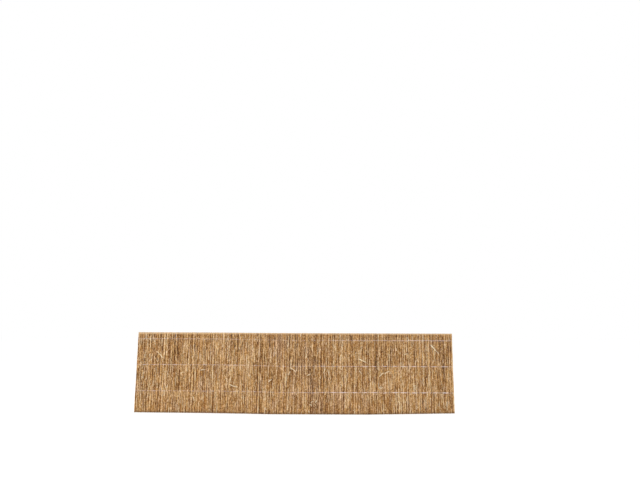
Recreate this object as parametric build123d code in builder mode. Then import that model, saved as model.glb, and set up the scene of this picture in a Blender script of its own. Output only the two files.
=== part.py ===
"""Reed fence panel: a mat of upright reeds, bound in three rows by a twine along each face.

The mat is one wall.  Its plan is a row of ridges, one for each clump of stems, gathered into bundles.
Between two bundles there is a flat valley with a narrow gap through the mat at each binding row, and a
small loop passes through each gap to draw the front and back twines together.

Frame: X along the fence, Y through the mat with the front face towards -Y, Z up.  The origin is the
middle of the bottom edge.  Millimetres.
"""

import math
import os

from build123d import *

# Panel
panel_length = 4000.0
panel_height = 1000.0

# Reed mat
core_thickness = 7.0  # packed stems between the valleys of the two faces
ridge_depth = 3.0  # from a valley to the crest of a reed
crest_share = 0.46  # part of a reed's width that its crest takes
bundle_width = 125.0  # reeds between two columns of stitches, on average
bundle_spread = 0.16  # how unevenly the bundles share the length
reeds_per_bundle = 7
reed_spread = 0.28  # how unevenly the reeds share their bundle

# Binding rows
top_row_drop = 92.0  # from the top edge down to the highest row
row_spacing = 321.0
twine_diameter = 4.0
twine_seat = 0.2  # from the crests of the reeds to the twine
twine_end_inset = 6.0  # from an end of the mat to the end of a twine

# Stitch loops
loop_thread = 1.6  # side of the square section of a loop
loop_clearance = 0.2  # between a loop and the twines that it holds

# Gaps through the mat
gap_clearance = 0.5  # between a loop and the sides of its gap
gap_lip = 0.6  # flat of the valley on each side of a gap
gap_rise = 36.0  # from a binding row up to the top of a gap, on average
gap_drop = 90.0  # from a binding row down to the bottom of a gap, on average
gap_spread = 0.30  # how unevenly long the gaps are

GOLDEN_SHARE = (math.sqrt(5) - 1) / 2


def uneven(index, spread):
    """A repeatable factor near 1, at most spread away from it, that differs from each index to the next."""
    return 1 + spread * (2 * ((index * GOLDEN_SHARE) % 1) - 1)


def shared_out(total, count, spread, first_index):
    """A length divided into uneven shares."""
    factors = [uneven(first_index + i, spread) for i in range(count)]
    return [total * factor / sum(factors) for factor in factors]


# Places through the mat, along Y
valley_y = core_thickness / 2
crest_y = valley_y + ridge_depth
twine_y = crest_y + twine_seat + twine_diameter / 2
loop_inner_y = twine_y + twine_diameter / 2 + loop_clearance

# Places up the mat, along Z
top_row = panel_height - top_row_drop
rows = {"top": top_row, "middle": top_row - row_spacing, "lower": top_row - 2 * row_spacing}
loop_inner_height = twine_diameter + 2 * loop_clearance

# Places along the mat: the outline of the front face, and the columns of stitches
gap_width = loop_thread + 2 * gap_clearance
valley_width = gap_width + 2 * gap_lip
bundle_count = round(panel_length / bundle_width)
reed_run = panel_length - (bundle_count - 1) * valley_width
x = -panel_length / 2
front_outline = [(x, -valley_y)]
stitch_columns = []
for bundle, width in enumerate(shared_out(reed_run, bundle_count, bundle_spread, 0)):
    if bundle > 0:
        stitch_columns.append(x + valley_width / 2)
        x += valley_width
        front_outline.append((x, -valley_y))
    first_reed = bundle * reeds_per_bundle
    for reed_width in shared_out(width, reeds_per_bundle, reed_spread, first_reed):
        shoulder = reed_width * (1 - crest_share) / 2
        front_outline.append((x + shoulder, -crest_y))
        front_outline.append((x + reed_width - shoulder, -crest_y))
        x += reed_width
        front_outline.append((x, -valley_y))

# Reed mat
with BuildPart() as reed_mat:
    with BuildSketch(Plane.XY):
        with BuildLine():
            Polyline(*front_outline)
            mirror(about=Plane.XZ)
            for end_x in (-panel_length / 2, panel_length / 2):
                Line((end_x, -valley_y), (end_x, valley_y))
        make_face()
    extrude(amount=panel_height)
    with BuildSketch(Plane.XZ):
        for row, row_z in enumerate(rows.values()):
            for column, column_x in enumerate(stitch_columns):
                index = column * len(rows) + row
                gap_top = row_z + gap_rise * uneven(index + 1, gap_spread)
                gap_bottom = row_z - gap_drop * uneven(index, gap_spread)
                with Locations((column_x, (gap_bottom + gap_top) / 2)):
                    Rectangle(gap_width, gap_top - gap_bottom)
    extrude(amount=core_thickness, both=True, mode=Mode.SUBTRACT)

os.makedirs("parts", exist_ok=True)
reed_mat.part.label = "reed_mat"
export_step(reed_mat.part, "parts/reed_mat.step")

twine_start = -panel_length / 2 + twine_end_inset
twine_length = panel_length - 2 * twine_end_inset
for row_name, row_z in rows.items():
    # Twine along the front face
    with BuildPart() as front_twine:
        with BuildSketch(Plane((twine_start, -twine_y, row_z), z_dir=(1, 0, 0))):
            Circle(twine_diameter / 2)
        extrude(amount=twine_length)
    front_twine.part.label = f"front_twine_{row_name}"
    export_step(front_twine.part, f"parts/front_twine_{row_name}.step")

    # Twine along the back face
    with BuildPart() as back_twine:
        with BuildSketch(Plane((twine_start, twine_y, row_z), z_dir=(1, 0, 0))):
            Circle(twine_diameter / 2)
        extrude(amount=twine_length)
    back_twine.part.label = f"back_twine_{row_name}"
    export_step(back_twine.part, f"parts/back_twine_{row_name}.step")

    # Loops round both twines, one through each gap
    loop_planes = [
        Plane((column_x - loop_thread / 2, 0, row_z), x_dir=(0, 1, 0), z_dir=(1, 0, 0))
        for column_x in stitch_columns
    ]
    with BuildPart() as stitch_loops:
        with BuildSketch(*loop_planes):
            Rectangle(2 * (loop_inner_y + loop_thread), loop_inner_height + 2 * loop_thread)
            Rectangle(2 * loop_inner_y, loop_inner_height, mode=Mode.SUBTRACT)
        extrude(amount=loop_thread)
    stitch_loops.part.label = f"stitch_loops_{row_name}"
    export_step(stitch_loops.part, f"parts/stitch_loops_{row_name}.step")
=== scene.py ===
"""Reed fence panel: a mat of dry upright reeds, bound by three rows of pale twine, on a white studio floor."""

import math

import bpy
import numpy as np
from mathutils import Euler, Matrix, Vector


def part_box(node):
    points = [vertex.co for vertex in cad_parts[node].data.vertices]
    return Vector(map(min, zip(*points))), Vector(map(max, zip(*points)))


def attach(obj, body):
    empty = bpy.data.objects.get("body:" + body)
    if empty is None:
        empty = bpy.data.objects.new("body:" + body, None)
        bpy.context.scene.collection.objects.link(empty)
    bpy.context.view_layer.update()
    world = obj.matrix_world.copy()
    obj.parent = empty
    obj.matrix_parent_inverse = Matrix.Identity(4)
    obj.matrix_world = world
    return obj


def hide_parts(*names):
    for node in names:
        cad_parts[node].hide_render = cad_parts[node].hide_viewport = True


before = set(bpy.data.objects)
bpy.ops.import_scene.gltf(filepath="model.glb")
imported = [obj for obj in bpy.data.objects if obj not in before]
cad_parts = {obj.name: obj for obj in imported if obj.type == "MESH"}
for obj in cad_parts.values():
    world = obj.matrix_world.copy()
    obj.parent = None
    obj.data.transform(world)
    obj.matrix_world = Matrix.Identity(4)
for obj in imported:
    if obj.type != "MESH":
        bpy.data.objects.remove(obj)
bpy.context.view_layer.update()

# Sizes of the panel, in metres, read from the frame
MM = 0.001
mat_low, mat_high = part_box("reed_mat")
PANEL_LENGTH = mat_high.x - mat_low.x
PANEL_HEIGHT = mat_high.z - mat_low.z
MAT_HALF = mat_high.y
ROWS = ("top", "middle", "lower")


def middle_of(node):
    """The middle of a node's box."""
    low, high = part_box(node)
    return (low + high) / 2


TWINE_LOW, TWINE_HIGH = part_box("front_twine_top")
TWINE_RADIUS = (TWINE_HIGH.z - TWINE_LOW.z) / 2
ROW_HEIGHT = {row: middle_of(f"front_twine_{row}").z for row in ROWS}
TWINE_DEPTH = abs(middle_of("front_twine_top").y)
LOOP_SPACING = 20 * MM  # vertices further apart than this along a row belong to two loops


def stitch_columns(row):
    """Places along X of the loops in one binding row."""
    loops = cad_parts[f"stitch_loops_{row}"].data
    x = np.sort(np.array([v.co.x for v in loops.vertices]))
    groups = np.split(x, np.flatnonzero(np.diff(x) > LOOP_SPACING) + 1)
    return np.array([group.mean() for group in groups])


# Node sheets


class Sheet:
    """A node tree on which a formula is written in few lines: sockets and plain numbers are fed alike."""

    def __init__(self, tree):
        self.tree = tree

    def feed(self, socket, value):
        if isinstance(value, bpy.types.NodeSocket):
            self.tree.links.new(value, socket)
        else:
            socket.default_value = value

    def add(self, kind, inputs=None, **settings):
        node = self.tree.nodes.new(kind)
        for key, value in settings.items():
            setattr(node, key, value)
        for key, value in (inputs or {}).items():
            self.feed(node.inputs[key], value)
        return node

    def calc(self, operation, *values):
        node = self.add("ShaderNodeMath", dict(enumerate(values)), operation=operation)
        return node.outputs[0]

    def vector(self, operation, *values):
        keys = (0, 3) if operation == "SCALE" else (0, 1)
        node = self.add("ShaderNodeVectorMath", dict(zip(keys, values)), operation=operation)
        return node.outputs["Value" if operation == "LENGTH" else "Vector"]

    def combine(self, x=0.0, y=0.0, z=0.0):
        return self.add("ShaderNodeCombineXYZ", {0: x, 1: y, 2: z}).outputs[0]

    def mix_colour(self, share, a, b, blend="MIX"):
        node = self.add("ShaderNodeMix", {0: share, 6: a, 7: b}, data_type="RGBA", blend_type=blend)
        return node.outputs[2]

    def mix_value(self, share, a, b):
        return self.add("ShaderNodeMix", {0: share, 2: a, 3: b}).outputs[0]

    def step(self, value, start, end):
        """0 below start, 1 above end, smooth between them."""
        inputs = {"Value": value, "From Min": start, "From Max": end}
        return self.add("ShaderNodeMapRange", inputs, interpolation_type="SMOOTHSTEP").outputs[0]

    def fade(self, value, start, end):
        """1 below start, 0 above end, smooth between them."""
        return self.calc("SUBTRACT", 1.0, self.step(value, start, end))

    def vary(self, base, grain, strength):
        """Raises and lowers a value by a grain that is about a half on average."""
        return self.calc("MULTIPLY_ADD", self.calc("SUBTRACT", grain, 0.5), strength, base)

    def noise(self, place, scale=1.0, detail=2.0, rough=0.5):
        inputs = {"Vector": place, "Scale": scale, "Detail": detail, "Roughness": rough}
        return self.add("ShaderNodeTexNoise", inputs)

    def ramp(self, share, stops):
        node = self.add("ShaderNodeValToRGB", {0: share})
        while len(node.color_ramp.elements) < len(stops):
            node.color_ramp.elements.new(0.5)
        for element, (position, colour) in zip(node.color_ramp.elements, stops):
            element.position = position
            element.color = (*colour, 1)
        return node.outputs[0]

    def store(self, geometry, name, value):
        """Writes a number on each point of a geometry."""
        inputs = {"Geometry": geometry, "Name": name, "Value": value}
        return self.add("GeometryNodeStoreNamedAttribute", inputs, data_type="FLOAT").outputs[0]

    def circle(self, sides, radius):
        """A round section for a stem or a thread, and each point's share of the way round it."""
        inputs = {"Resolution": sides, "Radius": radius}
        section = self.add("GeometryNodeCurvePrimitiveCircle", inputs).outputs[0]
        return section, self.add("GeometryNodeSplineParameter").outputs["Factor"]

    def deliver(self, socket, geometry, material):
        """Gives a geometry its material and hands it to the end of the tree."""
        geometry = self.add("GeometryNodeRealizeInstances", {0: geometry}).outputs[0]
        geometry = self.add("GeometryNodeSetMaterial", {0: geometry, "Material": material}).outputs[0]
        self.feed(socket, geometry)


def new_group(kind, name, inputs, outputs):
    """A node group with named sockets, given as (name, socket type, default)."""
    tree = bpy.data.node_groups.new(name, kind)
    for way, sockets in (("INPUT", inputs), ("OUTPUT", outputs)):
        for label, socket_type, *default in sockets:
            socket = tree.interface.new_socket(name=label, in_out=way, socket_type=socket_type)
            if default:
                socket.default_value = default[0]
    sheet = Sheet(tree)
    return sheet, sheet.add("NodeGroupInput").outputs, sheet.add("NodeGroupOutput").inputs


GEOMETRY, FLOAT, INT = "NodeSocketGeometry", "NodeSocketFloat", "NodeSocketInt"
COLOUR, VECTOR, MATERIAL = "NodeSocketColor", "NodeSocketVector", "NodeSocketMaterial"


# Materials

# How often a grain repeats in a metre, along the fence, through the mat and up it
FIBRE_SCALE = (620.0, 620.0, 16.0)
BLOTCH_SCALE = (90.0, 90.0, 60.0)
DRIFT_SCALE = (6.0, 1.0, 3.0)
GREYING_SCALE = (38.0, 8.0, 4.5)
TWINE_FIBRE_SCALE = (260.0, 1400.0, 1400.0)
TWINE_SOIL_SCALE = 9.0

# How far the lengths between two joints, and the wide drifts, differ in tone
LENGTH_SPREAD = 0.48
DRIFT_SPREAD = 0.10
TONE_STEPS = 977.0  # spreads stems of nearly the same tone, so that each picks its own shades

# Colours
REED_TONES = (
    (0.00, (0.050, 0.015, 0.004)),
    (0.20, (0.212, 0.076, 0.017)),
    (0.40, (0.465, 0.222, 0.060)),
    (0.60, (0.698, 0.402, 0.142)),
    (0.80, (0.872, 0.612, 0.306)),
    (1.00, (0.955, 0.850, 0.625)),
)
SHEATH_PAPER = (0.58, 0.42, 0.25, 1)
JOINT_BROWN = (0.16, 0.07, 0.022, 1)
DUST_TINT = (1.36, 0.93, 0.64, 1)
CUT_PITH = (0.70, 0.52, 0.30, 1)
# Painted shade for the hollow inside a cut stem
HOLLOW_SHADE_PAINT = (0.045, 0.025, 0.012, 1)
# Painted light on the reeds that the twines press flat
PRESSED_LIGHT_PAINT = (0.84, 0.66, 0.46, 1)
# Paler cut tips, with painted light where the top edge of the panel catches it
PALE_AND_LIT_TIP = (0.84, 0.62, 0.37, 1)
# Painted shade on the reeds near the ground
FOOT_SHADE_PAINT = (0.17, 0.105, 0.06, 1)

# Where these begin and end, in metres: from a joint, below the top, above the feet and from a binding row
JOINT_RING = (0.0008, 0.0028)
PALE_AND_LIT_TIP_BAND = (0.008, 0.026)
FOOT_SHADE_BAND = (0.006, 0.034)
PRESSED_LIGHT_BAND = (0.006, 0.050)


def stem_group():
    """Colour, roughness and relief of a dry stem: joints, papery sheaths, fibres, blotches and weathering."""
    sheet, given, out = new_group(
        "ShaderNodeTree",
        "Dry stem",
        [
            ("Tone", FLOAT, 0.5),
            ("Along", FLOAT, 0.0),
            ("Place", VECTOR),
            ("Joint Spacing", FLOAT, 0.17),
            ("Fibre", FLOAT, 0.30),
            ("Blotch", FLOAT, 1.0),
            ("Sheath", FLOAT, 0.5),
            ("Weather", FLOAT, 0.5),
            ("Shade", FLOAT, 0.0),
            ("Greyed", FLOAT, 0.0),
            ("Section", VECTOR),
            ("Hollow", FLOAT, 1.0),
        ],
        [("Colour", COLOUR), ("Roughness", FLOAT), ("Relief", FLOAT)],
    )
    tone, along, place = given["Tone"], given["Along"], given["Place"]

    # Each length between two joints has its own shade
    lengths = sheet.calc("DIVIDE", along, given["Joint Spacing"])
    joint = sheet.calc("FLOOR", lengths)
    share = sheet.calc("FRACT", lengths)
    pick = sheet.add(
        "ShaderNodeTexWhiteNoise",
        {"Vector": sheet.combine(sheet.calc("MULTIPLY", tone, TONE_STEPS), joint)},
        noise_dimensions="2D",
    )
    picks = sheet.add("ShaderNodeSeparateColor", {0: pick.outputs["Color"]}).outputs

    def grain_of(scale, rough=0.5):
        return sheet.noise(sheet.vector("MULTIPLY", place, scale), detail=3.0, rough=rough).outputs[0]

    fibre, blotch, drift = grain_of(FIBRE_SCALE), grain_of(BLOTCH_SCALE), grain_of(DRIFT_SCALE, 0.6)
    shade = sheet.calc("ADD", tone, given["Shade"])
    for grain, strength in (
        (picks[0], LENGTH_SPREAD), (fibre, given["Fibre"]), (blotch, given["Blotch"]), (drift, DRIFT_SPREAD)
    ):
        shade = sheet.vary(shade, grain, strength)
    colour = sheet.ramp(shade, REED_TONES)

    # The lower part of a length is wrapped in a paler, greyer sheath with a ragged end
    ragged = sheet.vary(share, fibre, 0.22)
    sheath_end = sheet.calc("MULTIPLY_ADD", picks[1], 0.75, 0.1)
    wrapped = sheet.step(sheet.calc("SUBTRACT", sheath_end, ragged), 0.0, 0.03)
    wrapped = sheet.calc("MULTIPLY", wrapped, given["Sheath"])
    paper = sheet.mix_colour(0.35, colour, SHEATH_PAPER)
    colour = sheet.mix_colour(wrapped, colour, paper)

    # Dark ring at each joint
    nearer_end = sheet.calc("MINIMUM", share, sheet.calc("SUBTRACT", 1.0, share))
    ring = sheet.fade(sheet.calc("MULTIPLY", nearer_end, given["Joint Spacing"]), *JOINT_RING)
    colour = sheet.mix_colour(sheet.calc("MULTIPLY", ring, 0.5), colour, JOINT_BROWN)

    # Old stems have gone grey, in narrow upright drifts
    old = sheet.calc("ADD", grain_of(GREYING_SCALE, 0.6), sheet.calc("MULTIPLY", given["Greyed"], 0.4))
    grey = sheet.calc("MULTIPLY", sheet.step(old, 0.46, 0.70), given["Weather"])
    luminance = sheet.add("ShaderNodeRGBToBW", {0: colour}).outputs[0]
    grey = sheet.calc("MULTIPLY", grey, sheet.step(luminance, 0.03, 0.30))
    dusty = sheet.mix_colour(1.0, sheet.combine(luminance, luminance, luminance), DUST_TINT, "MULTIPLY")
    colour = sheet.mix_colour(grey, colour, dusty)

    # A cut end is a ring of pale pith round a dark middle, painted shade where the stem's hollow would be
    middle = sheet.vector("LENGTH", sheet.vector("SUBTRACT", given["Section"], (0.5, 0.5, 0.0)))
    cut = sheet.calc("MULTIPLY", sheet.fade(middle, 0.50, 0.56), 0.8)
    colour = sheet.mix_colour(cut, colour, CUT_PITH)
    hollow_shade = sheet.calc("MULTIPLY", sheet.fade(middle, 0.20, 0.28), given["Hollow"])
    colour = sheet.mix_colour(hollow_shade, colour, HOLLOW_SHADE_PAINT)

    sheet.feed(out["Colour"], colour)
    rough = sheet.mix_value(wrapped, 0.48, 0.75)
    sheet.feed(out["Roughness"], sheet.vary(rough, blotch, 0.25))
    sheet.feed(out["Relief"], sheet.calc("MULTIPLY_ADD", ring, 0.8, fibre))
    return sheet.tree


def ends_group():
    """Paints the top of the panel paler, partly as paler cut tips and partly as painted light where the top edge
    catches it, paints light on the reeds that the twines press flat, and paints shade near the ground.
    """
    sheet, given, out = new_group(
        "ShaderNodeTree",
        "Paler tips, painted light and shade",
        [
            ("Colour", COLOUR),
            ("Place", VECTOR),
            ("Above Foot", FLOAT, 1.0),
            ("Panel Height", FLOAT, 1.0),
            ("Top Row", FLOAT, 0.9),
            ("Middle Row", FLOAT, 0.6),
            ("Lower Row", FLOAT, 0.3),
            ("Bleach", FLOAT, 0.5),
            ("Pressed", FLOAT, 0.2),
            ("Damp", FLOAT, 0.5),
        ],
        [("Colour", COLOUR)],
    )
    height = sheet.add("ShaderNodeSeparateXYZ", {0: given["Place"]}).outputs[2]
    below = sheet.calc("SUBTRACT", given["Panel Height"], height)
    # Paler cut tips and painted light along the top edge
    tip = sheet.calc("MULTIPLY", sheet.fade(below, *PALE_AND_LIT_TIP_BAND), given["Bleach"])
    # Painted shade near the feet
    foot = sheet.calc("MULTIPLY", sheet.fade(given["Above Foot"], *FOOT_SHADE_BAND), given["Damp"])
    nearest = 1.0
    for row in ("Top Row", "Middle Row", "Lower Row"):
        away = sheet.calc("ABSOLUTE", sheet.calc("SUBTRACT", height, given[row]))
        nearest = sheet.calc("MINIMUM", nearest, away)
    # Painted light on the reeds near each binding row
    pressed_light = sheet.calc("MULTIPLY", sheet.fade(nearest, *PRESSED_LIGHT_BAND), given["Pressed"])
    colour = sheet.mix_colour(pressed_light, given["Colour"], PRESSED_LIGHT_PAINT)
    colour = sheet.mix_colour(tip, colour, PALE_AND_LIT_TIP)
    sheet.feed(out["Colour"], sheet.mix_colour(foot, colour, FOOT_SHADE_PAINT))
    return sheet.tree


def thread_group():
    """Twisted pale twine: fibres along the lay, darker towards the grooves between the strands and in soiled
    patches.
    """
    sheet, given, out = new_group(
        "ShaderNodeTree",
        "Twisted fibre",
        [("Place", VECTOR), ("Groove", FLOAT, 0.5), ("Clean", COLOUR), ("Soiled", COLOUR)],
        [("Colour", COLOUR), ("Relief", FLOAT)],
    )
    place = given["Place"]
    fibre = sheet.noise(sheet.vector("MULTIPLY", place, TWINE_FIBRE_SCALE)).outputs[0]
    soil = sheet.step(sheet.noise(place, scale=TWINE_SOIL_SCALE, detail=4.0).outputs[0], 0.45, 0.8)
    # Darker towards the grooves between the strands, and in soiled patches
    share = sheet.calc("MULTIPLY_ADD", given["Groove"], 0.40, sheet.calc("MULTIPLY", soil, 0.4))
    share = sheet.vary(share, fibre, 0.5)
    sheet.feed(out["Colour"], sheet.mix_colour(share, given["Clean"], given["Soiled"]))
    sheet.feed(out["Relief"], fibre)
    return sheet.tree


STEM_GROUP, ENDS_GROUP, THREAD_GROUP = stem_group(), ends_group(), thread_group()


def fresh_material(name):
    """A new material, the sheet of its tree and its surface node."""
    material = bpy.data.materials.new(name)
    material.use_nodes = True
    return material, Sheet(material.node_tree), material.node_tree.nodes["Principled BSDF"]


def attribute(sheet, name):
    return sheet.add("ShaderNodeAttribute", attribute_name=name).outputs["Fac"]


def use_group(sheet, group, inputs):
    return sheet.add("ShaderNodeGroup", inputs, node_tree=group).outputs


def relief(sheet, surface, height, distance):
    """Fine bumps, at most so many metres high."""
    bump = sheet.add("ShaderNodeBump", {"Strength": 0.5, "Distance": distance, "Height": height})
    sheet.feed(surface.inputs["Normal"], bump.outputs[0])


def stem_material(name, joint_spacing, fibre, blotch, sheath, weather, pale_and_lit_tips, hollow_shade):
    """Dry stems or leaves, weathered as their place on the mat has it, with painted light near the top and the
    binding rows and painted shade near the ground.
    """
    material, sheet, surface = fresh_material(name)
    place = sheet.add("ShaderNodeTexCoord").outputs["Object"]
    stem = use_group(sheet, STEM_GROUP, {
        "Tone": attribute(sheet, "stem_tone"),
        "Along": attribute(sheet, "stem_along"),
        "Place": place,
        "Joint Spacing": joint_spacing,
        "Fibre": fibre,
        "Blotch": blotch,
        "Sheath": sheath,
        "Weather": weather,
        "Shade": attribute(sheet, "stem_shade"),
        "Greyed": attribute(sheet, "stem_greyed"),
        "Section": sheet.add("ShaderNodeUVMap", uv_map="Section").outputs[0],
        "Hollow": hollow_shade,
    })
    ends = use_group(sheet, ENDS_GROUP, {
        "Colour": stem["Colour"],
        "Place": place,
        "Above Foot": attribute(sheet, "above_foot"),
        "Panel Height": PANEL_HEIGHT,
        "Top Row": ROW_HEIGHT["top"],
        "Middle Row": ROW_HEIGHT["middle"],
        "Lower Row": ROW_HEIGHT["lower"],
        "Bleach": pale_and_lit_tips,
        "Pressed": 0.05,
        "Damp": 0.60,
    })
    sheet.feed(surface.inputs["Base Color"], ends["Colour"])
    sheet.feed(surface.inputs["Roughness"], stem["Roughness"])
    relief(sheet, surface, stem["Relief"], 0.6 * MM)
    surface.inputs["Specular IOR Level"].default_value = 0.18
    return material


def thread_material(name, clean, groove_and_soil):
    """Pale twine with a soft sheen."""
    material, sheet, surface = fresh_material(name)
    thread = use_group(sheet, THREAD_GROUP, {
        "Place": sheet.add("ShaderNodeTexCoord").outputs["Object"],
        "Groove": attribute(sheet, "strand_groove"),
        "Clean": (*clean, 1),
        "Soiled": (*groove_and_soil, 1),
    })
    sheet.feed(surface.inputs["Base Color"], thread["Colour"])
    relief(sheet, surface, thread["Relief"], 0.4 * MM)
    surface.inputs["Roughness"].default_value = 0.82
    surface.inputs["Sheen Weight"].default_value = 0.25
    return material


REED = stem_material(
    "dry_reed", joint_spacing=0.13, fibre=0.34, blotch=1.25, sheath=0.4, weather=0.45, pale_and_lit_tips=0.75, hollow_shade=1.0
)
SHORT_STEM = stem_material(
    "broken_stem", joint_spacing=0.12, fibre=0.36, blotch=1.25, sheath=0.3, weather=0.40, pale_and_lit_tips=0.45, hollow_shade=0.8
)
LEAF = stem_material(
    "leaf_strip", joint_spacing=0.30, fibre=0.42, blotch=1.25, sheath=0.4, weather=0.45, pale_and_lit_tips=0.30, hollow_shade=0.0
)
STRAW = stem_material(
    "pale_straw", joint_spacing=0.25, fibre=0.10, blotch=0.1, sheath=0.0, weather=0.0, pale_and_lit_tips=0.0, hollow_shade=0.0
)
BINDING_TWINE = thread_material("binding_twine", clean=(1.00, 0.90, 0.91), groove_and_soil=(0.84, 0.70, 0.70))
LOOP_TWINE = thread_material("loop_twine", clean=(0.88, 0.79, 0.80), groove_and_soil=(0.56, 0.46, 0.44))


# Stems

# How far apart in the noise two stems of a piece are, and two pieces
STEM_STEP, PIECE_STEP = 1.713, 17.3
WANDER_GAIN = 4.0  # the noise keeps within about a quarter of its middle value


def stem_tree():
    """Grows a stem from each point of a mesh, which holds its reach, bow, radius, tone, start and turn."""
    sheet, given, out = new_group(
        "GeometryNodeTree",
        "Grow stems",
        [
            ("Feet", GEOMETRY),
            ("Rings", INT, 8),
            ("Sides", INT, 6),
            ("Wander X", FLOAT, 0.002),
            ("Wander Y", FLOAT, 0.001),
            ("Waves", FLOAT, 4.0),
            ("Flatness", FLOAT, 1.0),
            ("Taper", FLOAT, 0.2),
            ("Twist", FLOAT, 0.0),
            ("Seed", INT, 1),
            ("Finish", MATERIAL),
        ],
        [("Stems", GEOMETRY)],
    )
    feet, rings = given["Feet"], given["Rings"]
    line = sheet.add("GeometryNodeCurvePrimitiveLine").outputs[0]
    line = sheet.add("GeometryNodeResampleCurve", {"Curve": line, "Count": rings}).outputs[0]
    lines = sheet.add("GeometryNodeInstanceOnPoints", {"Points": feet, "Instance": line}).outputs[0]
    lines = sheet.add("GeometryNodeRealizeInstances", {0: lines}).outputs[0]

    index = sheet.add("GeometryNodeInputIndex").outputs[0]
    number = sheet.add("FunctionNodeIntegerMath", {0: index, 1: rings}, operation="DIVIDE_FLOOR").outputs[0]
    ring = sheet.add("FunctionNodeIntegerMath", {0: index, 1: rings}, operation="MODULO").outputs[0]
    share = sheet.calc("DIVIDE", ring, sheet.calc("SUBTRACT", rings, 1.0))

    def of_stem(name, kind):
        if name:
            value = sheet.add("GeometryNodeInputNamedAttribute", {0: name}, data_type=kind).outputs[0]
        else:
            value = sheet.add("GeometryNodeInputPosition").outputs[0]
        inputs = {"Geometry": feet, "Value": value, "Index": number}
        return sheet.add("GeometryNodeSampleIndex", inputs, data_type=kind).outputs[0]

    foot, reach, bow = (of_stem(name, "FLOAT_VECTOR") for name in (None, "reach", "bow"))
    radius, tone, start, turn = (of_stem(name, "FLOAT") for name in ("radius", "tone", "start", "turn"))
    length = sheet.vector("LENGTH", reach)
    metres = sheet.calc("MULTIPLY", share, length)

    # Straight reach, an even bow and a wander that differs from stem to stem
    arch = sheet.calc("MULTIPLY", sheet.calc("MULTIPLY", share, sheet.calc("SUBTRACT", 1.0, share)), 4.0)
    place = sheet.vector("ADD", foot, sheet.vector("SCALE", reach, share))
    place = sheet.vector("ADD", place, sheet.vector("SCALE", bow, arch))
    seed = sheet.calc("MULTIPLY", given["Seed"], PIECE_STEP)
    where = sheet.combine(
        sheet.calc("MULTIPLY_ADD", number, STEM_STEP, seed), sheet.calc("MULTIPLY", metres, given["Waves"])
    )
    drift = sheet.noise(where, detail=1.0).outputs["Color"]
    drift = sheet.vector("SUBTRACT", drift, (0.5, 0.5, 0.5))
    amount = sheet.combine(*(sheet.calc("MULTIPLY", given[way], WANDER_GAIN) for way in ("Wander X", "Wander Y")))
    place = sheet.vector("ADD", place, sheet.vector("MULTIPLY", drift, amount))
    stems = sheet.add("GeometryNodeSetPosition", {"Geometry": lines, "Position": place}).outputs[0]
    facing = {"Curve": stems, "Normal": (0.0, -1.0, 0.0)}
    stems = sheet.add("GeometryNodeSetCurveNormal", facing, mode="FREE").outputs[0]
    tilt = sheet.calc("MULTIPLY_ADD", share, given["Twist"], turn)
    stems = sheet.add("GeometryNodeSetCurveTilt", {"Curve": stems, "Tilt": tilt}).outputs[0]
    for name, value in (
        ("stem_tone", tone),
        ("stem_along", sheet.calc("ADD", metres, start)),
        ("stem_number", number),
        ("stem_share", share),
    ):
        stems = sheet.store(stems, name, value)

    section, around = sheet.circle(given["Sides"], 1.0)
    section = sheet.store(section, "around", around)
    flat = sheet.combine(given["Flatness"], 1.0, 1.0)
    section = sheet.add("GeometryNodeTransform", {"Geometry": section, "Scale": flat}).outputs[0]
    narrowed = sheet.calc("SUBTRACT", 1.0, sheet.calc("MULTIPLY", share, given["Taper"]))
    thick = sheet.calc("MULTIPLY", radius, narrowed)
    inputs = {"Curve": stems, "Profile Curve": section, "Scale": thick, "Fill Caps": True}
    sheet.deliver(out[0], sheet.add("GeometryNodeCurveToMesh", inputs).outputs[0], given["Finish"])
    return sheet.tree


def values_of(mesh, name):
    """A number that each vertex holds."""
    found = np.empty(len(mesh.attributes[name].data), np.float32)
    mesh.attributes[name].data.foreach_get("value", found)
    return found


def corners_of(mesh):
    """Each corner's vertex and face, each face's corner count and first corner, each corner's share of the turn."""
    vertex = np.empty(len(mesh.loops), np.int32)
    mesh.loops.foreach_get("vertex_index", vertex)
    total = np.empty(len(mesh.polygons), np.int32)
    mesh.polygons.foreach_get("loop_total", total)
    face = np.repeat(np.arange(len(total)), total)
    around = values_of(mesh, "around")[vertex]
    first = np.cumsum(total) - total
    spread = np.maximum.reduceat(around, first) - np.minimum.reduceat(around, first)
    # The last face round a section closes the seam
    around = around + ((spread[face] > 0.5) & (around < 0.25) & (total[face] == 4))
    return vertex, face, total, first, around


def write_map(mesh, name, u, v):
    layer = mesh.uv_layers.new(name=name, do_init=False)
    layer.uv.foreach_set("vector", np.stack([u, v], 1).astype(np.float32).ravel())


def map_stems(mesh, columns):
    """Each stem gets an upright strip of the map, in rows of so many columns, with a cap at each end of it."""
    vertex, face, total, _, around = corners_of(mesh)
    number = values_of(mesh, "stem_number")[vertex].round().astype(int)
    share = values_of(mesh, "stem_share")[vertex]
    rows = number.max() // columns + 1
    cap = total[face] > 4
    turn = 2 * np.pi * around
    across = np.where(cap, 0.5 + 0.3 * np.cos(turn), 0.1 + 0.8 * around)
    up = np.where(cap, np.where(share > 0.5, 0.985, 0.015) + 0.01 * np.sin(turn), 0.03 + 0.94 * share)
    write_map(mesh, "OFBake", (number % columns + across) / columns, (number // columns + up) / rows)
    write_map(mesh, "Section", cap * (0.5 + 0.5 * np.cos(turn)), cap * (0.5 + 0.5 * np.sin(turn)))


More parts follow.
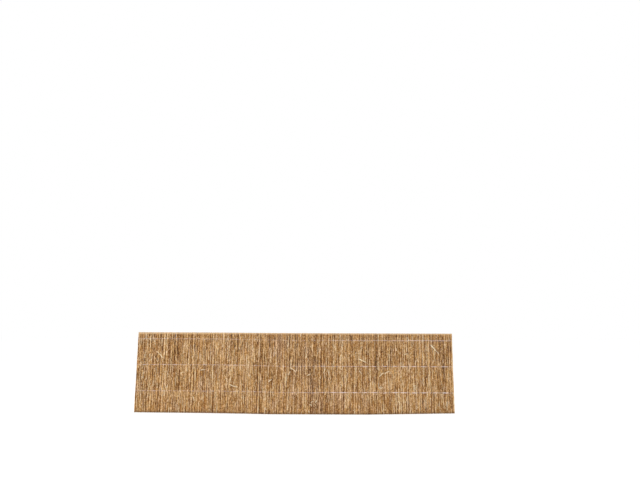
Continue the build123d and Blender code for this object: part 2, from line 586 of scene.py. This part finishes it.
def finished(holder, tree, settings):
    """Runs a node tree on an object and keeps the result as its plain mesh."""
    modifier = holder.modifiers.new(tree.name, "NODES")
    modifier.node_group = tree
    for item in tree.interface.items_tree:
        if item.in_out == "INPUT" and item.name in settings:
            modifier[item.identifier] = settings[item.name]
    bpy.context.view_layer.update()
    graph = bpy.context.evaluated_depsgraph_get()
    mesh = bpy.data.meshes.new_from_object(holder.evaluated_get(graph), depsgraph=graph)
    holder.modifiers.clear()
    before, holder.data = holder.data, mesh
    bpy.data.meshes.remove(before)
    mesh.name = holder.name
    return mesh


def holder_of(name, points, edges=()):
    """An object that holds the points, and perhaps lines between them, for a node tree to work on."""
    mesh = bpy.data.meshes.new(name)
    mesh.from_pydata(np.asarray(points).tolist(), list(edges), [])
    holder = bpy.data.objects.new(name, mesh)
    bpy.context.collection.objects.link(holder)
    return holder


def smooth_sides(mesh, spent):
    """Smooths all faces but the caps and drops the numbers that aren't needed any more."""
    total = np.empty(len(mesh.polygons), np.int32)
    mesh.polygons.foreach_get("loop_total", total)
    mesh.polygons.foreach_set("use_smooth", total == 4)
    for name in spent:
        mesh.attributes.remove(mesh.attributes[name])


STEM_TREE = stem_tree()

# Darker, paler and greyer places on the mat, one of them a painted shadow under loose straws: x, z, half width,
# half height, change of tone, greying
PATCHES = np.array((
    (-1.67, 0.79, 0.07, 0.07, -0.09, 0.0),
    (-1.49, 0.80, 0.06, 0.20, -0.15, 0.0),
    (-1.29, 0.84, 0.06, 0.06, -0.08, 0.0),
    (-1.32, 0.20, 0.05, 0.22, -0.11, 0.0),
    # painted shadow under the loose straws that lie across the mat here
    (-1.16, 0.49, 0.06, 0.04, -0.18, 0.2),
    (-0.85, 0.25, 0.04, 0.18, -0.11, 0.0),
    (-0.44, 0.50, 0.05, 0.45, -0.14, 0.1),
    (-0.75, 0.77, 0.07, 0.12, -0.08, 0.0),
    (0.15, 0.60, 0.15, 0.20, -0.15, 0.3),
    (0.12, 0.90, 0.14, 0.08, -0.06, 0.0),
    (0.20, 0.30, 0.08, 0.12, -0.07, 0.4),
    (0.28, 0.10, 0.10, 0.10, -0.10, 0.7),
    (1.03, 0.66, 0.05, 0.30, -0.08, 0.0),
    (1.12, 0.80, 0.06, 0.08, -0.08, 0.0),
    (1.85, 0.78, 0.05, 0.12, -0.16, 0.1),
    (1.84, 0.42, 0.04, 0.10, -0.14, 0.1),
    (-1.72, 0.47, 0.13, 0.14, 0.07, 0.0),
    (-1.07, 0.34, 0.12, 0.09, 0.09, 0.2),
    (-1.12, 0.12, 0.08, 0.12, 0.09, 0.0),
    (-0.60, 0.38, 0.08, 0.26, 0.08, 0.0),
    (-0.02, 0.30, 0.03, 0.20, 0.09, 0.4),
    (0.54, 0.68, 0.04, 0.28, 0.04, 0.0),
    (0.84, 0.16, 0.07, 0.13, 0.06, 0.3),
    (1.33, 0.30, 0.12, 0.22, 0.09, 0.0),
    (1.66, 0.86, 0.09, 0.11, 0.08, 0.0),
    (1.88, 0.62, 0.06, 0.15, -0.14, 0.0),
    (1.93, 0.30, 0.03, 0.20, 0.06, 0.0),
    (-0.20, 0.84, 0.09, 0.13, 0.07, 0.6),
    (-0.19, 0.60, 0.07, 0.12, 0.10, 0.2),
    (-0.19, 0.13, 0.08, 0.12, 0.08, 0.2),
    (0.55, 0.18, 0.10, 0.14, 0.06, 0.5),
    (0.92, 0.32, 0.07, 0.18, 0.09, 0.0),
    (1.49, 0.33, 0.07, 0.12, 0.06, 0.0),
))

# Pale clumps of stems with dark ones between them, each two or three stems wide, that come and go up the mat
CLUMPS = 480  # enough to pass both ends of the panel
CLUMP_WIDTHS = (8 * MM, 21 * MM)
CLUMP_KNOTS = 18  # heights at which a clump has a tone of its own
CLUMP_TONE = 0.115
FIRST_CLUMP = -PANEL_LENGTH / 2 - 50 * MM
clump_rng = np.random.default_rng(71)
CLUMP_EDGES = FIRST_CLUMP + np.cumsum(clump_rng.uniform(*CLUMP_WIDTHS, CLUMPS - 1))
PALE_OR_DARK = np.where(np.arange(CLUMPS) % 2, 1, -1)
CLUMP_DEPTH = clump_rng.normal(0.9, 0.7, (CLUMPS, CLUMP_KNOTS)) * PALE_OR_DARK[:, None]


def clump_tone(x, z):
    """How much paler or darker the clump at a place is there."""
    clump = np.searchsorted(CLUMP_EDGES, x)
    height = np.clip(z / PANEL_HEIGHT, 0, 1) * (CLUMP_KNOTS - 1)
    knot = np.minimum(height.astype(int), CLUMP_KNOTS - 2)
    low, high = CLUMP_DEPTH[clump, knot], CLUMP_DEPTH[clump, knot + 1]
    return CLUMP_TONE * (low + (high - low) * (height - knot))


def weather(mesh):
    """Writes how much darker, paler or greyer the mat is at each point, a painted shadow under some loose straws
    among it, and the point's height above the feet.
    """
    place = np.empty(len(mesh.vertices) * 3, np.float32)
    mesh.vertices.foreach_get("co", place)
    x, _, z = place.reshape(-1, 3).T
    amounts = np.zeros((2, len(x)))
    for at_x, at_z, half_width, half_height, *changes in PATCHES:
        share = np.exp(-(((x - at_x) / half_width) ** 2) - ((z - at_z) / half_height) ** 2)
        amounts += np.outer(changes, share)
    amounts[0] += clump_tone(x, z)
    for name, amount in zip(("stem_shade", "stem_greyed", "above_foot"), (*amounts, z - foot_rise(x))):
        mesh.attributes.new(name, "FLOAT", "POINT").data.foreach_set("value", amount.astype(np.float32))


def grow(name, stems, finish, columns, wander, waves, **settings):
    """A piece made of stems, from a table of their feet, reach, bow, radius, tone, start and turn."""
    holder = holder_of(name, stems["foot"])
    for key in ("reach", "bow"):
        data = holder.data.attributes.new(key, "FLOAT_VECTOR", "POINT").data
        data.foreach_set("vector", stems[key].astype(np.float32).ravel())
    for key in ("radius", "tone", "start", "turn"):
        data = holder.data.attributes.new(key, "FLOAT", "POINT").data
        data.foreach_set("value", stems[key].astype(np.float32))
    wander_x, wander_y = wander
    mesh = finished(holder, STEM_TREE, {
        "Finish": finish, "Wander X": wander_x, "Wander Y": wander_y, "Waves": waves, **settings
    })
    map_stems(mesh, columns)
    weather(mesh)
    smooth_sides(mesh, ("around", "stem_number", "stem_share"))
    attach(holder, "root")
    return holder


def slow_wave(rng, x, wavelength):
    """A smooth random curve along the panel, about one in size."""
    knots = np.arange(-PANEL_LENGTH, PANEL_LENGTH, wavelength)
    return np.interp(x, knots, rng.normal(size=len(knots)))


def foot_rise(x):
    """The bottom edge sags in the middle: the reeds' feet stand a little higher towards both ends."""
    return MM * np.interp(x, (-2.0, -1.2, -0.7, -0.3, 0.9, 1.3, 1.8, 2.0), (18, 13, 7, 0, 0, 6, 15, 18))


def head_rise(x):
    """The reeds' tops stand a little higher towards one end."""
    return MM * np.interp(x, (-2.0, -1.0, -0.3), (5, 4, 0))


def row_rise(x):
    """The binding rows were stitched a little higher towards that end, with a sag next to it."""
    return MM * np.interp(x, (-2.0, -1.0, -0.5, -0.1, 0.3, 2.0), (16, 13, 9, -4, 0, 2))


REED_INSET = 2 * MM  # from an end of the panel to the nearest reed
FOOT_SPREAD, TOP_SPREAD = 2.0 * MM, 3.5 * MM  # how unevenly the reeds are cut
LEAN_WAVELENGTH = 0.35  # reeds lean together over about this length
REED_TONE_SPREAD = 0.08
TONE_LIMITS = (0.02, 0.98)
START_LIMIT = 5  # a stem begins up to this many metres along its pattern, so that joints don't line up


def long_reeds(rng, count, loose, depth, jitter, thin, thick, lean, pale):
    """A layer of reeds as high as the panel, side by side along it."""
    pitch = PANEL_LENGTH / count
    x = -PANEL_LENGTH / 2 + pitch * (np.arange(count) + 0.5 + loose * rng.uniform(-1, 1, count))
    radius = thin + (thick - thin) * rng.beta(1.6, 2.4, count)
    tilt = lean * slow_wave(rng, x, LEAN_WAVELENGTH) + 0.7 * lean * rng.normal(size=count)
    tilt = np.clip(tilt, -3 * lean, 3 * lean)
    edge = PANEL_LENGTH / 2 - radius - REED_INSET
    low, high = np.clip(x - tilt / 2, -edge, edge), np.clip(x + tilt / 2, -edge, edge)
    bottom = foot_rise(x) + np.abs(rng.normal(0, FOOT_SPREAD, count))
    top = PANEL_HEIGHT + head_rise(x) - np.abs(rng.normal(0, TOP_SPREAD, count))
    y = depth + rng.uniform(-jitter, jitter, count)
    tone = pale + REED_TONE_SPREAD * rng.normal(size=count)
    return {
        "foot": np.stack([low, y, bottom], 1),
        "reach": np.stack([high - low, rng.uniform(-jitter, jitter, count), top - bottom], 1),
        "bow": np.stack([rng.normal(0, 0.4 * lean, count), rng.normal(0, 0.1 * lean, count), 0 * x], 1),
        "radius": radius,
        "tone": np.clip(tone, *TONE_LIMITS),
        "start": rng.uniform(0, START_LIMIT, count),
        "turn": rng.uniform(-math.pi, math.pi, count),
    }


SHORT_INSET, LEANING_INSET = 12 * MM, 6 * MM  # from an end of the panel to a broken stem's foot and to its tip
SHORT_TOP_INSET = 12 * MM
TUFT_WAVELENGTH = 40 * MM  # broken stems lean together over about this length
STEEPEST_LEAN = 0.6
SINK_RANGE = (-1.6, 0.2)  # millimetres from the face of the mat to a stem's axis
SHORT_TONE_LIMITS = (0.02, 0.86)


def short_stems(rng, count, face, shortest, longest, thin, thick, lean, pale, spread, face_turn):
    """Broken stems and leaf strips that lie on one face, some way up it; face is -1 or 1."""
    length = shortest + (longest - shortest) * rng.beta(1.2, 3.0, count)
    x = rng.uniform(-1, 1, count) * (PANEL_LENGTH / 2 - SHORT_INSET)
    room = PANEL_HEIGHT - SHORT_TOP_INSET - length - foot_rise(x)
    bottom = foot_rise(x) + rng.uniform(0.005, 1, count) * room
    tufts = 1.4 * lean * slow_wave(rng, x, TUFT_WAVELENGTH)
    tilt = length * np.clip(tufts + lean * rng.standard_t(3, count), -STEEPEST_LEAN, STEEPEST_LEAN)
    edge = PANEL_LENGTH / 2 - LEANING_INSET
    tilt = np.clip(x + tilt, -edge, edge) - x
    radius = thin + (thick - thin) * rng.beta(1.5, 3.0, count)
    sink = rng.uniform(*SINK_RANGE, count) * MM
    y = face * (MAT_HALF + sink)
    tone = pale + spread * rng.normal(size=count)
    return {
        "foot": np.stack([x, y, bottom], 1),
        "reach": np.stack([tilt, face * rng.normal(0, 0.8 * MM, count), length], 1),
        "bow": np.stack([rng.normal(0, 3 * MM, count), face * rng.uniform(0, 1.0, count) * MM, 0 * x], 1),
        "radius": radius,
        "tone": np.clip(tone, *SHORT_TONE_LIMITS),
        "start": rng.uniform(0, START_LIMIT, count),
        "turn": rng.uniform(-face_turn, face_turn, count),
    }


# Layers of reeds, from the front to the back: name, seed, count, looseness as a share of the pitch, then depth,
# jitter, thinnest and thickest radius, lean and wander in millimetres, then tone, rings and sides; the inner
# layers' and the core's lower tone is painted shade inside the mat
LAYERS = (
    ("reeds_front", 11, 600, 0.45, -4.0, 0.9, 1.5, 3.7, 4.0, 1.4, 0.52, 10, 6),
    ("reeds_front_inner", 12, 760, 0.40, -2.0, 0.8, 1.8, 3.4, 3.5, 1.4, 0.28, 8, 5),
    ("reeds_core", 13, 800, 0.15, 0.0, 0.6, 2.6, 3.8, 1.0, 0.8, 0.22, 8, 5),
    ("reeds_back_inner", 14, 760, 0.40, 2.0, 0.8, 1.8, 3.4, 3.5, 1.4, 0.28, 8, 5),
    ("reeds_back", 15, 600, 0.45, 4.0, 0.9, 1.5, 3.7, 4.0, 1.4, 0.52, 10, 6),
)
for name, seed, count, loose, depth, jitter, thin, thick, lean, wander, pale, rings, sides in LAYERS:
    table = long_reeds(
        np.random.default_rng(seed), count, loose, depth * MM, jitter * MM, thin * MM, thick * MM, lean * MM, pale
    )
    layer = grow(
        name, table, REED, columns=256, wander=(wander * MM, 0.3 * wander * MM), waves=3.5,
        Rings=rings, Sides=sides, Seed=seed,
    )
    if name == "reeds_front":
        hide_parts("reed_mat")

for side, face, seed, stem_count, leaf_count, flake_count in (
    ("front", -1, 21, 2400, 1300, 1500), ("back", 1, 31, 1500, 800, 700)
):
    rng = np.random.default_rng(seed)
    grow(
        f"broken_stems_{side}",
        short_stems(
            rng, stem_count, face, shortest=0.03, longest=0.32, thin=0.9 * MM, thick=3.0 * MM,
            lean=0.06, pale=0.575, spread=0.28, face_turn=math.pi,
        ),
        SHORT_STEM, columns=512, wander=(1.5 * MM, 0.4 * MM), waves=7.0, Rings=5, Sides=5, Seed=seed,
    )
    grow(
        f"leaf_strips_{side}",
        short_stems(
            rng, leaf_count, face, shortest=0.03, longest=0.24, thin=2.0 * MM, thick=6.0 * MM,
            lean=0.08, pale=0.595, spread=0.32, face_turn=0.5,
        ),
        LEAF, columns=256, wander=(3.0 * MM, 0.6 * MM), waves=6.0, Rings=6, Sides=6, Seed=seed + 1,
        Flatness=0.14, Taper=0.7, Twist=0.4,
    )
    grow(
        f"leaf_flakes_{side}",
        short_stems(
            rng, flake_count, face, shortest=0.012, longest=0.045, thin=2.5 * MM, thick=5.5 * MM,
            lean=0.30, pale=0.565, spread=0.45, face_turn=0.5,
        ),
        LEAF, columns=512, wander=(1.0 * MM, 0.6 * MM), waves=20.0, Rings=4, Sides=5, Seed=seed + 2,
        Flatness=0.16, Taper=0.6, Twist=0.5,
    )


# Binding twines


def twine_tree():
    """A twisted twine of three strands along a line of points, which hold how far it swells."""
    sheet, given, out = new_group(
        "GeometryNodeTree",
        "Twisted twine",
        [
            ("Route", GEOMETRY),
            ("Radius", FLOAT, 0.002),
            ("Lay", FLOAT, 0.028),
            ("Strands", INT, 3),
            ("Points Per Strand", INT, 3),
            ("Lobe", FLOAT, 0.12),
            ("Finish", MATERIAL),
        ],
        [("Twine", GEOMETRY)],
    )
    turn = 2 * math.pi
    route = sheet.add("GeometryNodeMeshToCurve", {0: given["Route"]}).outputs[0]
    route = sheet.add("GeometryNodeSetCurveNormal", {0: route}, mode="Z_UP").outputs[0]
    run = sheet.add("GeometryNodeSplineParameter").outputs
    twist = sheet.calc("MULTIPLY", sheet.calc("DIVIDE", run["Length"], given["Lay"]), turn)
    route = sheet.add("GeometryNodeSetCurveTilt", {"Curve": route, "Tilt": twist}).outputs[0]
    route = sheet.store(route, "ring", run["Index"])

    sides = sheet.calc("MULTIPLY", given["Strands"], given["Points Per Strand"])
    section, around = sheet.circle(sides, given["Radius"])
    angle = sheet.calc("MULTIPLY", sheet.calc("MULTIPLY", around, given["Strands"]), turn)
    swell = sheet.calc("MULTIPLY", sheet.calc("SUBTRACT", sheet.calc("COSINE", angle), 1.0), given["Lobe"])
    here = sheet.add("GeometryNodeInputPosition").outputs[0]
    inputs = {"Geometry": section, "Offset": sheet.vector("SCALE", here, swell)}
    section = sheet.add("GeometryNodeSetPosition", inputs).outputs[0]
    groove = sheet.calc("MULTIPLY_ADD", sheet.calc("COSINE", angle), -0.5, 0.5)
    section = sheet.store(sheet.store(section, "around", around), "strand_groove", groove)
    swollen = sheet.add("GeometryNodeInputNamedAttribute", {0: "swollen"}, data_type="FLOAT").outputs[0]
    inputs = {"Curve": route, "Profile Curve": section, "Scale": swollen, "Fill Caps": True}
    sheet.deliver(out[0], sheet.add("GeometryNodeCurveToMesh", inputs).outputs[0], given["Finish"])
    return sheet.tree


def map_twine(mesh, per_row):
    """The twine's length is cut into rows of so many rings, one above the other on the map."""
    vertex, face, total, first, around = corners_of(mesh)
    ring = values_of(mesh, "ring")[vertex].round().astype(int)
    segment = np.minimum.reduceat(ring, first)[face]
    rows = ring.max() // per_row + 1
    along = segment % per_row + (ring - segment)
    cap = total[face] > 4
    turn = 2 * np.pi * around
    along = np.where(cap, along + 0.3 + 0.2 * np.cos(turn), along)
    up = np.where(cap, 0.5 + 0.2 * np.sin(turn), 0.1 + 0.8 * around)
    write_map(mesh, "OFBake", (along + 0.5) / (per_row + 1), (segment // per_row + up) / rows)


TWINE_TREE = twine_tree()
TWINE_STEP = 3 * MM  # from ring to ring
TWINE_RINGS_PER_ROW = 28  # on the map
DASH_LIMITS = (1, 80)  # how far a twine can stand out on each side of a loop, in millimetres
DASH_END = 9 * MM  # it still rises a little this much further on
DASH_RISE = 11 * MM  # length over which it rises
SMOOTHED_STEPS = 21  # steps over which one way of lying turns into the next
ROW_WAVER = 1.2 * MM
WAVER_WAVELENGTH = 0.09


def stitched_twine(name, row, face, columns, rng, stretches, node):
    """A twine that stands out around each loop and is drawn in among the reeds from one loop to the next."""
    low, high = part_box(node)
    x = np.arange(low.x, high.x, TWINE_STEP)
    starts, halves, spreads, slack, drawn_in, taut = np.array(stretches).T
    at_loop = np.searchsorted(starts, columns, side="right") - 1
    over = np.zeros_like(x)
    dashes = np.clip(rng.normal(halves[at_loop], spreads[at_loop]), *DASH_LIMITS) * MM
    for column, half in zip(columns, dashes):
        lift = np.clip((half + DASH_END - np.abs(x - column)) / DASH_RISE, 0, 1)
        over = np.maximum(over, lift * lift * (3 - 2 * lift))
    here = np.searchsorted(starts, x, side="right") - 1
    padded = np.pad(drawn_in[here] * MM, SMOOTHED_STEPS // 2, "edge")
    between = np.convolve(padded, np.full(SMOOTHED_STEPS, 1 / SMOOTHED_STEPS), "valid")
    y = face * (between + (TWINE_DEPTH - between) * over)
    z = ROW_HEIGHT[row] + row_rise(x) + ROW_WAVER * slow_wave(rng, x, WAVER_WAVELENGTH)
    edges = np.stack([np.arange(len(x) - 1), np.arange(1, len(x))], 1).tolist()
    holder = holder_of(name, np.stack([x, y, z], 1), edges)
    swollen = holder.data.attributes.new("swollen", "FLOAT", "POINT").data
    swollen.foreach_set("value", (taut[here] + (slack - taut)[here] * over).astype(np.float32))
    mesh = finished(holder, TWINE_TREE, {"Radius": TWINE_RADIUS, "Finish": BINDING_TWINE})
    map_twine(mesh, TWINE_RINGS_PER_ROW)
    smooth_sides(mesh, ("around", "ring", "swollen"))
    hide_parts(node)
    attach(holder, "root")


# Stitch loops


def loop_tree():
    """Closed turns of thin twine round the front and back twines, one at each point."""
    sheet, given, out = new_group(
        "GeometryNodeTree",
        "Stitch loops",
        [
            ("Stitches", GEOMETRY),
            ("Depth", FLOAT, 0.023),
            ("Height", FLOAT, 0.006),
            ("Radius", FLOAT, 0.0008),
            ("Sides", INT, 5),
            ("Tilt", FLOAT, 0.2),
            ("Seed", INT, 5),
            ("Finish", MATERIAL),
        ],
        [("Loops", GEOMETRY)],
    )
    inputs = {"Width": given["Depth"], "Height": given["Height"]}
    turn = sheet.add("GeometryNodeCurvePrimitiveQuadrilateral", inputs).outputs[0]
    inputs = {"Curve": turn, "Count": 2, "Radius": sheet.calc("MULTIPLY", given["Height"], 0.49)}
    turn = sheet.add("GeometryNodeFilletCurve", inputs, mode="POLY").outputs[0]
    inputs = {"Geometry": turn, "Rotation": Euler((math.pi / 2, 0, math.pi / 2))}
    turn = sheet.add("GeometryNodeTransform", inputs).outputs[0]
    section, around = sheet.circle(given["Sides"], given["Radius"])
    section = sheet.store(section, "strand_groove", sheet.calc("PINGPONG", around, 0.5))
    turn = sheet.add("GeometryNodeCurveToMesh", {"Curve": turn, "Profile Curve": section}).outputs[0]
    limit = sheet.combine(given["Tilt"], 0.0, sheet.calc("MULTIPLY", given["Tilt"], 0.4))
    inputs = {0: sheet.vector("SCALE", limit, -1.0), 1: limit, "Seed": given["Seed"]}
    spin = sheet.add("FunctionNodeRandomValue", inputs, data_type="FLOAT_VECTOR").outputs[0]
    inputs = {"Points": given["Stitches"], "Instance": turn, "Rotation": spin}
    sheet.deliver(out[0], sheet.add("GeometryNodeInstanceOnPoints", inputs).outputs[0], given["Finish"])
    return sheet.tree


LOOP_TREE = loop_tree()
LOOP_RADIUS = 0.75 * MM
TURN_OFFSET = 0.8 * MM  # each stitch has two turns of thread, side by side

# How a twine lies, from this x on: how far it stands out on each side of a loop, the spread of that and its
# thickness there, then how far it is from the middle of the mat between two loops and its thickness there
# (millimetres, and shares of the twine's diameter)
LIES_FRONT = {
    "top": (
        (-2.00, 5, 5, 0.85, 6.3, 0.50),
        (-0.70, 2, 2, 0.60, 3.5, 0.50),
        (0.45, 5, 4, 0.90, 6.3, 0.55),
        (1.05, 8, 5, 1.10, 7.2, 0.70),
        (1.40, 75, 5, 1.05, 8.4, 0.80),
    ),
    "middle": (
        (-2.00, 11, 8, 1.05, 6.5, 0.50),
        (-0.85, 16, 6, 1.20, 6.7, 0.65),
        (-0.65, 3, 3, 0.80, 5.0, 0.55),
        (0.30, 14, 6, 1.15, 7.2, 0.60),
        (0.80, 21, 8, 1.45, 7.0, 0.50),
    ),
    "lower": (
        (-2.00, 8, 6, 0.90, 6.0, 0.50),
        (-0.75, 4, 3, 0.90, 5.5, 0.55),
        (0.03, 13, 6, 1.15, 7.4, 0.65),
        (0.40, 26, 6, 2.10, 8.0, 0.65),
    ),
}
LIES_BACK = ((-2.0, 16, 10, 1.10, 7.0, 0.70),)

for number, row in enumerate(ROWS):
    rng = np.random.default_rng(41 + number)
    columns = stitch_columns(row)
    for side, face, stretches in (("front", -1, LIES_FRONT[row]), ("back", 1, LIES_BACK)):
        stitched_twine(f"twine_{side}_{row}", row, face, columns, rng, stretches, f"{side}_twine_{row}")
    points = [(x + turn * TURN_OFFSET, 0, ROW_HEIGHT[row] + row_rise(x)) for x in columns for turn in (-1, 1)]
    holder = holder_of(f"loops_{row}", points)
    low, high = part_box(f"stitch_loops_{row}")
    depth, height = high.y - low.y - 2 * LOOP_RADIUS, high.z - low.z - 2 * LOOP_RADIUS
    mesh = finished(holder, LOOP_TREE, {
        "Depth": depth, "Height": height, "Radius": LOOP_RADIUS, "Seed": 5 + number, "Finish": LOOP_TWINE
    })
    smooth_sides(mesh, ())
    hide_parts(f"stitch_loops_{row}")
    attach(holder, "root")


# Loose straws caught across the front face, in small tufts: middle x and z, reach along x and z, bow
STRAWS = (
    (-1.71, 0.727, 0.080, -0.074, 0.000),
    (-1.41, 0.500, 0.045, 0.012, 0.010),
    (-1.26, 0.185, 0.012, -0.055, 0.000),
    (-1.16, 0.540, 0.060, 0.004, 0.003),
    (-0.765, 0.345, 0.100, -0.030, -0.008),
    (-0.31, 0.410, 0.040, 0.030, 0.004),
    (-0.02, 0.545, 0.062, -0.040, 0.004),
    (-0.07, 0.500, 0.020, 0.050, 0.002),
    (0.18, 0.480, 0.045, 0.020, 0.004),
    (0.20, 0.110, 0.030, -0.010, 0.008),
    (0.22, 0.150, 0.030, 0.020, 0.008),
    (0.25, 0.120, 0.025, -0.020, 0.006),
    (0.27, 0.160, 0.020, 0.030, 0.000),
    (0.37, 0.530, 0.030, 0.050, 0.000),
    (0.42, 0.520, -0.020, 0.060, 0.000),
    (0.588, 0.355, 0.034, -0.026, 0.004),
    (0.825, 0.515, 0.030, -0.045, 0.006),
    (0.855, 0.655, 0.085, -0.040, 0.000),
    (0.857, 0.661, 0.085, -0.040, 0.000),
    (1.162, 0.515, 0.060, 0.032, 0.004),
    (1.09, 0.485, 0.052, 0.044, 0.002),
    (1.08, 0.330, 0.050, 0.006, -0.008),
    (1.40, 0.740, 0.040, 0.012, 0.003),
    (1.44, 0.930, 0.014, -0.045, 0.000),
    (1.52, 0.640, 0.012, 0.050, 0.000),
    (1.772, 0.797, 0.100, -0.115, 0.004),
)
STRAWS_PER_TUFT = 4
STRAW_SCATTER = 2.2 * MM
STRAW_HEIGHTS = (3.2, 4.2)  # millimetres in front of the mat
STRAW_RADII = (1.4 * MM, 3.0 * MM)


def loose_straws(rng):
    """A table of straws: those of a tuft lie close together, and longer ones are thicker."""
    x, z, across, up, bow = np.repeat(np.array(STRAWS), STRAWS_PER_TUFT, axis=0).T
    count = len(x)
    length = np.hypot(across, up)
    angle = np.arctan2(up, across) + rng.normal(0, 0.05, count)
    length = length * rng.uniform(0.75, 1.1, count)
    across, up = length * np.cos(angle), length * np.sin(angle)
    x, z = x + rng.normal(0, STRAW_SCATTER, count), z + rng.normal(0, STRAW_SCATTER, count)
    y = -MAT_HALF - rng.uniform(*STRAW_HEIGHTS, count) * MM
    return {
        "foot": np.stack([x - across / 2, y, z - up / 2], 1),
        "reach": np.stack([across, 0 * x, up], 1),
        "bow": np.stack([0 * x, -rng.uniform(0.5, 1.6, count) * MM, bow], 1),
        "radius": np.clip(0.022 * length + 1.0 * MM, *STRAW_RADII),
        "tone": rng.uniform(1.05, 1.25, count),
        "start": rng.uniform(0, START_LIMIT, count),
        "turn": 0 * x,
    }


grow(
    "loose_straws", loose_straws(np.random.default_rng(61)), STRAW, columns=8, wander=(0.4 * MM, 0.3 * MM),
    waves=12.0, Rings=10, Sides=6, Seed=61, Flatness=0.6, Taper=0.5,
)


# Floor, light and camera


def white_where_seen(sheet, lit, white_kind, strength, share):
    """Mixes a shader that takes light with plain white, where the camera, a mirror or glass sees it directly."""
    path = sheet.add("ShaderNodeLightPath").outputs
    seen = sheet.calc("MAXIMUM", path["Is Camera Ray"], path["Is Glossy Ray"])
    seen = sheet.calc("MAXIMUM", seen, path["Is Transmission Ray"])
    white = sheet.add(white_kind, {"Color": (1, 1, 1, 1), "Strength": strength}).outputs[0]
    return sheet.add("ShaderNodeMixShader", {0: sheet.calc("MULTIPLY", seen, share), 1: lit, 2: white}).outputs[0]


FLOOR_HALF = 60.0
FLOOR_LEVEL = -0.5 * MM  # just under the feet
floor_corners = [(x * FLOOR_HALF, y * FLOOR_HALF, FLOOR_LEVEL) for x, y in ((-1, -1), (1, -1), (1, 1), (-1, 1))]
floor_mesh = bpy.data.meshes.new("floor")
floor_mesh.from_pydata(floor_corners, [], [(0, 1, 2, 3)])
floor = bpy.data.objects.new("floor", floor_mesh)
bpy.context.collection.objects.link(floor)
floor_material, floor_sheet, floor_surface = fresh_material("pale_floor")
floor_surface.inputs["Base Color"].default_value = (0.90, 0.90, 0.90, 1)
floor_surface.inputs["Roughness"].default_value = 0.9
floor_surface.inputs["Specular IOR Level"].default_value = 0.1
floor_sheet.feed(
    floor_material.node_tree.nodes["Material Output"].inputs["Surface"],
    white_where_seen(floor_sheet, floor_surface.outputs[0], "ShaderNodeEmission", strength=1.18, share=0.75),
)
floor_mesh.materials.append(floor_material)

world = bpy.data.worlds.new("studio")
bpy.context.scene.world = world
world.use_nodes = True
sky = Sheet(world.node_tree)
soft = world.node_tree.nodes["Background"]
soft.inputs["Color"].default_value = (1.0, 0.99, 0.97, 1)
soft.inputs["Strength"].default_value = 0.50
sky.feed(
    world.node_tree.nodes["World Output"].inputs["Surface"],
    white_where_seen(sky, soft.outputs[0], "ShaderNodeBackground", strength=1.0, share=1.0),
)

LIGHT_AIM = Vector((0, 0, 0.5))


def soft_box(name, place, size, power):
    """A wide soft lamp that shines on the middle of the panel."""
    lamp = bpy.data.lights.new(name, "AREA")
    lamp.shape = "RECTANGLE"
    lamp.size, lamp.size_y = size
    lamp.energy = power
    lamp.color = (1.0, 0.985, 0.96)
    thing = bpy.data.objects.new(name, lamp)
    thing.location = place
    thing.rotation_euler = (LIGHT_AIM - Vector(place)).to_track_quat("-Z", "Y").to_euler()
    bpy.context.collection.objects.link(thing)


soft_box("key_light", place=(-3.0, -6.5, 5.0), size=(4.0, 2.5), power=305)
soft_box("fill_light", place=(4.5, -7.0, 2.5), size=(4.0, 3.0), power=115)
soft_box("back_light", place=(1.5, 7.0, 5.0), size=(5.0, 2.5), power=220)

CAMERA_PLACE = (0.311, -7.118, 1.024)
CAMERA_RISE = 9.41  # degrees that it looks up
CAMERA_ROLL = 0.21  # degrees
camera_data = bpy.data.cameras.new("camera")
camera_data.sensor_width = 36.0
camera_data.lens = 30.95
camera = bpy.data.objects.new("camera", camera_data)
camera.matrix_world = (
    Matrix.Translation(CAMERA_PLACE)
    @ Matrix.Rotation(math.radians(90 + CAMERA_RISE), 4, "X")
    @ Matrix.Rotation(math.radians(CAMERA_ROLL), 4, "Z")
)
bpy.context.collection.objects.link(camera)
bpy.context.scene.camera = camera
bpy.context.scene.view_settings.view_transform = "Standard"
